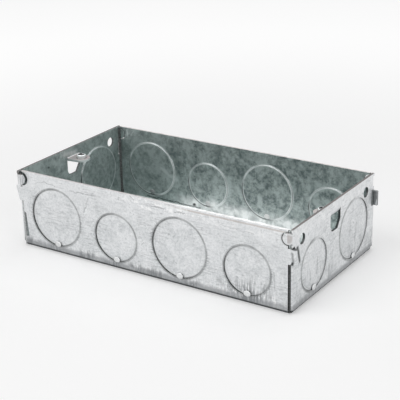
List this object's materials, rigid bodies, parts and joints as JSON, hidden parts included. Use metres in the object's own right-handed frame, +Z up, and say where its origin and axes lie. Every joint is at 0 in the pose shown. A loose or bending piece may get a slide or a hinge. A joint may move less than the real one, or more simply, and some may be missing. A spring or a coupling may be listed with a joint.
{
  "type": "metal back box",
  "caption": "Open-topped galvanised steel back box folded from one sheet, with pressed knockouts, tabbed corners, end holes and two tapped lugs for a two-gang wiring accessory.",
  "frame": {"origin": "centre of the outside face of the base", "axes": "+X along the length of the box, +Y across it towards the rear long wall, +Z up out of the open top"},
  "size_m": [0.1362, 0.0725, 0.0344],
  "materials": {
    "galvanised_steel": "galvanised, finely mottled zinc"
  },
  "bodies": {
    "root": {"back_box": "galvanised_steel"}
  },
  "joints": []
}
